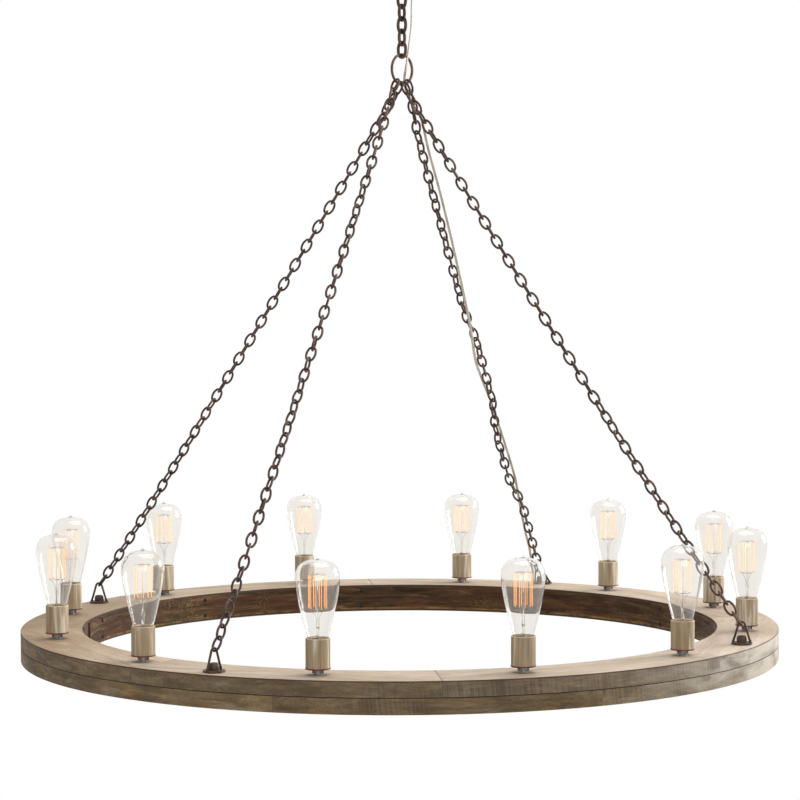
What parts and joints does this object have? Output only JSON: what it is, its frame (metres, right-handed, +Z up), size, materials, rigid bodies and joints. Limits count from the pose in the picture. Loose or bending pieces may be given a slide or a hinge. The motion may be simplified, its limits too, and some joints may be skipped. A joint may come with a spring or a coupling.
{
  "type": "wagon wheel chandelier",
  "caption": "Wagon wheel chandelier: a wooden wheel rim with an iron inner band and candle-sleeve lamps with cage-filament bulbs, hung by chains from a ring under a ceiling canopy.",
  "frame": {"origin": "the ceiling bracket's centre, on the ceiling", "axes": "+Z up into the ceiling; the ceiling screws stand along X; -Y faces the camera of the picture"},
  "size_m": [1.2192, 1.2192, 1.1357],
  "materials": {
    "bracket_steel": "zinc plated sheet steel",
    "canopy_bronze": "aged bronze paint",
    "chain_iron": "rust brown paint, a little coppery where it is worn",
    "hanger_iron": "very dark brown paint",
    "band_iron": "rusted flat iron",
    "screw_steel": "dull steel",
    "rim_wood": "weathered grey-brown wood with a paler top",
    "nipple_steel": "zinc plated steel",
    "disc_fibre": "dark red vulcanised fibre",
    "sleeve_card": "waxed tan candle sleeve with vertical streaks",
    "socket_phenolic": "dark moulded phenolic, with a brass screw shell",
    "wire_ivory": "ivory insulation",
    "contact_lead": "solder on a dark glass insulator",
    "cap_brass": "bright rolled brass; the filament in it glows orange",
    "bulb_glass": "clear glass"
  },
  "bodies": {
    "ceiling": {"ceiling_bracket": "bracket_steel", "canopy": "canopy_bronze", "canopy_loop": "canopy_bronze"},
    "upper_link": {"upper_link": "chain_iron"},
    "top_chain": {"top_chain": "chain_iron"},
    "pendant": {"hanging_ring": "chain_iron", "chain_rear_right": "chain_iron", "chain_rear_left": "chain_iron", "chain_front_left": "chain_iron", "chain_front_right": "chain_iron", "hanger_plates": "hanger_iron", "hanger_bails": "hanger_iron", "hanger_bolts": "hanger_iron", "hanger_nuts": "screw_steel", "rim_upper": "rim_wood", "rim_lower": "rim_wood", "inner_band": "band_iron", "band_screws": "screw_steel", "socket_nipples": "nipple_steel", "fibre_discs": "disc_fibre", "socket_sleeves": "sleeve_card", "lamp_sockets": "socket_phenolic", "ring_wiring": "wire_ivory", "supply_cord": "wire_ivory"},
    "bulb_01_contact": {"bulb_01_contact": "contact_lead"},
    "bulb_01": {"bulb_01_cap": "cap_brass", "bulb_01_glass": "bulb_glass"},
    "bulb_02_contact": {"bulb_02_contact": "contact_lead"},
    "bulb_02": {"bulb_02_cap": "cap_brass", "bulb_02_glass": "bulb_glass"},
    "bulb_03_contact": {"bulb_03_contact": "contact_lead"},
    "bulb_03": {"bulb_03_cap": "cap_brass", "bulb_03_glass": "bulb_glass"},
    "bulb_04_contact": {"bulb_04_contact": "contact_lead"},
    "bulb_04": {"bulb_04_cap": "cap_brass", "bulb_04_glass": "bulb_glass"},
    "bulb_05_contact": {"bulb_05_contact": "contact_lead"},
    "bulb_05": {"bulb_05_cap": "cap_brass", "bulb_05_glass": "bulb_glass"},
    "bulb_06_contact": {"bulb_06_contact": "contact_lead"},
    "bulb_06": {"bulb_06_cap": "cap_brass", "bulb_06_glass": "bulb_glass"},
    "bulb_07_contact": {"bulb_07_contact": "contact_lead"},
    "bulb_07": {"bulb_07_cap": "cap_brass", "bulb_07_glass": "bulb_glass"},
    "bulb_08_contact": {"bulb_08_contact": "contact_lead"},
    "bulb_08": {"bulb_08_cap": "cap_brass", "bulb_08_glass": "bulb_glass"},
    "bulb_09_contact": {"bulb_09_contact": "contact_lead"},
    "bulb_09": {"bulb_09_cap": "cap_brass", "bulb_09_glass": "bulb_glass"},
    "bulb_10_contact": {"bulb_10_contact": "contact_lead"},
    "bulb_10": {"bulb_10_cap": "cap_brass", "bulb_10_glass": "bulb_glass"},
    "bulb_11_contact": {"bulb_11_contact": "contact_lead"},
    "bulb_11": {"bulb_11_cap": "cap_brass", "bulb_11_glass": "bulb_glass"},
    "bulb_12_contact": {"bulb_12_contact": "contact_lead"},
    "bulb_12": {"bulb_12_cap": "cap_brass", "bulb_12_glass": "bulb_glass"}
  },
  "joints": [
    {"name": "loop_swing", "type": "hinge", "parent": "ceiling", "child": "upper_link", "pos_m": [0, 0, -0.0565], "axis": [0.829, -0.5592, 0], "range_deg": [-12, 12]},
    {"name": "chain_swing", "type": "hinge", "parent": "upper_link", "child": "top_chain", "pos_m": [0, 0, -0.0759], "axis": [0.5736, 0.8192, 0], "range_deg": [-12, 12]},
    {"name": "ring_tilt", "type": "hinge", "parent": "top_chain", "child": "pendant", "pos_m": [0, 0, -0.1749], "axis": [0.7986, -0.6018, 0], "range_deg": [-10, 10], "deforming": ["supply_cord"]},
    {"name": "bulb_01_lift", "type": "slide", "parent": "pendant", "child": "bulb_01_contact", "axis": [0, 0, 1], "range_m": [0, 0.01815]},
    {"name": "bulb_01_turn", "type": "hinge", "parent": "bulb_01_contact", "child": "bulb_01", "pos_m": [0.52525, 0.17602, -1.0881], "axis": [0, 0, 1], "range_deg": [0, 1800]},
    {"name": "bulb_02_lift", "type": "slide", "parent": "pendant", "child": "bulb_02_contact", "axis": [0, 0, 1], "range_m": [0, 0.01815]},
    {"name": "bulb_02_turn", "type": "hinge", "parent": "bulb_02_contact", "child": "bulb_02", "pos_m": [0.36593, 0.41857, -1.0881], "axis": [0, 0, 1], "range_deg": [0, 1800]},
    {"name": "bulb_03_lift", "type": "slide", "parent": "pendant", "child": "bulb_03_contact", "axis": [0, 0, 1], "range_m": [0, 0.01815]},
    {"name": "bulb_03_turn", "type": "hinge", "parent": "bulb_03_contact", "child": "bulb_03", "pos_m": [0.10668, 0.54895, -1.0881], "axis": [0, 0, 1], "range_deg": [0, 1800]},
    {"name": "bulb_04_lift", "type": "slide", "parent": "pendant", "child": "bulb_04_contact", "axis": [0, 0, 1], "range_m": [0, 0.01815]},
    {"name": "bulb_04_turn", "type": "hinge", "parent": "bulb_04_contact", "child": "bulb_04", "pos_m": [-0.18302, 0.53225, -1.0881], "axis": [0, 0, 1], "range_deg": [0, 1800]},
    {"name": "bulb_05_lift", "type": "slide", "parent": "pendant", "child": "bulb_05_contact", "axis": [0, 0, 1], "range_m": [0, 0.01815]},
    {"name": "bulb_05_turn", "type": "hinge", "parent": "bulb_05_contact", "child": "bulb_05", "pos_m": [-0.42557, 0.37293, -1.0881], "axis": [0, 0, 1], "range_deg": [0, 1800]},
    {"name": "bulb_06_lift", "type": "slide", "parent": "pendant", "child": "bulb_06_contact", "axis": [0, 0, 1], "range_m": [0, 0.01815]},
    {"name": "bulb_06_turn", "type": "hinge", "parent": "bulb_06_contact", "child": "bulb_06", "pos_m": [-0.55595, 0.11368, -1.0881], "axis": [0, 0, 1], "range_deg": [0, 1800]},
    {"name": "bulb_07_lift", "type": "slide", "parent": "pendant", "child": "bulb_07_contact", "axis": [0, 0, 1], "range_m": [0, 0.01815]},
    {"name": "bulb_07_turn", "type": "hinge", "parent": "bulb_07_contact", "child": "bulb_07", "pos_m": [-0.53925, -0.17602, -1.0881], "axis": [0, 0, 1], "range_deg": [0, 1800]},
    {"name": "bulb_08_lift", "type": "slide", "parent": "pendant", "child": "bulb_08_contact", "axis": [0, 0, 1], "range_m": [0, 0.01815]},
    {"name": "bulb_08_turn", "type": "hinge", "parent": "bulb_08_contact", "child": "bulb_08", "pos_m": [-0.37993, -0.41857, -1.0881], "axis": [0, 0, 1], "range_deg": [0, 1800]},
    {"name": "bulb_09_lift", "type": "slide", "parent": "pendant", "child": "bulb_09_contact", "axis": [0, 0, 1], "range_m": [0, 0.01815]},
    {"name": "bulb_09_turn", "type": "hinge", "parent": "bulb_09_contact", "child": "bulb_09", "pos_m": [-0.12068, -0.54895, -1.0881], "axis": [0, 0, 1], "range_deg": [0, 1800]},
    {"name": "bulb_10_lift", "type": "slide", "parent": "pendant", "child": "bulb_10_contact", "axis": [0, 0, 1], "range_m": [0, 0.01815]},
    {"name": "bulb_10_turn", "type": "hinge", "parent": "bulb_10_contact", "child": "bulb_10", "pos_m": [0.16902, -0.53225, -1.0881], "axis": [0, 0, 1], "range_deg": [0, 1800]},
    {"name": "bulb_11_lift", "type": "slide", "parent": "pendant", "child": "bulb_11_contact", "axis": [0, 0, 1], "range_m": [0, 0.01815]},
    {"name": "bulb_11_turn", "type": "hinge", "parent": "bulb_11_contact", "child": "bulb_11", "pos_m": [0.41157, -0.37293, -1.0881], "axis": [0, 0, 1], "range_deg": [0, 1800]},
    {"name": "bulb_12_lift", "type": "slide", "parent": "pendant", "child": "bulb_12_contact", "axis": [0, 0, 1], "range_m": [0, 0.01815]},
    {"name": "bulb_12_turn", "type": "hinge", "parent": "bulb_12_contact", "child": "bulb_12", "pos_m": [0.54195, -0.11368, -1.0881], "axis": [0, 0, 1], "range_deg": [0, 1800]}
  ],
  "couplings": [
    {"joint": "bulb_01_lift", "follows": "bulb_01_turn", "m_per_rad": 0.00057757},
    {"joint": "bulb_02_lift", "follows": "bulb_02_turn", "m_per_rad": 0.00057757},
    {"joint": "bulb_03_lift", "follows": "bulb_03_turn", "m_per_rad": 0.00057757},
    {"joint": "bulb_04_lift", "follows": "bulb_04_turn", "m_per_rad": 0.00057757},
    {"joint": "bulb_05_lift", "follows": "bulb_05_turn", "m_per_rad": 0.00057757},
    {"joint": "bulb_06_lift", "follows": "bulb_06_turn", "m_per_rad": 0.00057757},
    {"joint": "bulb_07_lift", "follows": "bulb_07_turn", "m_per_rad": 0.00057757},
    {"joint": "bulb_08_lift", "follows": "bulb_08_turn", "m_per_rad": 0.00057757},
    {"joint": "bulb_09_lift", "follows": "bulb_09_turn", "m_per_rad": 0.00057757},
    {"joint": "bulb_10_lift", "follows": "bulb_10_turn", "m_per_rad": 0.00057757},
    {"joint": "bulb_11_lift", "follows": "bulb_11_turn", "m_per_rad": 0.00057757},
    {"joint": "bulb_12_lift", "follows": "bulb_12_turn", "m_per_rad": 0.00057757}
  ]
}
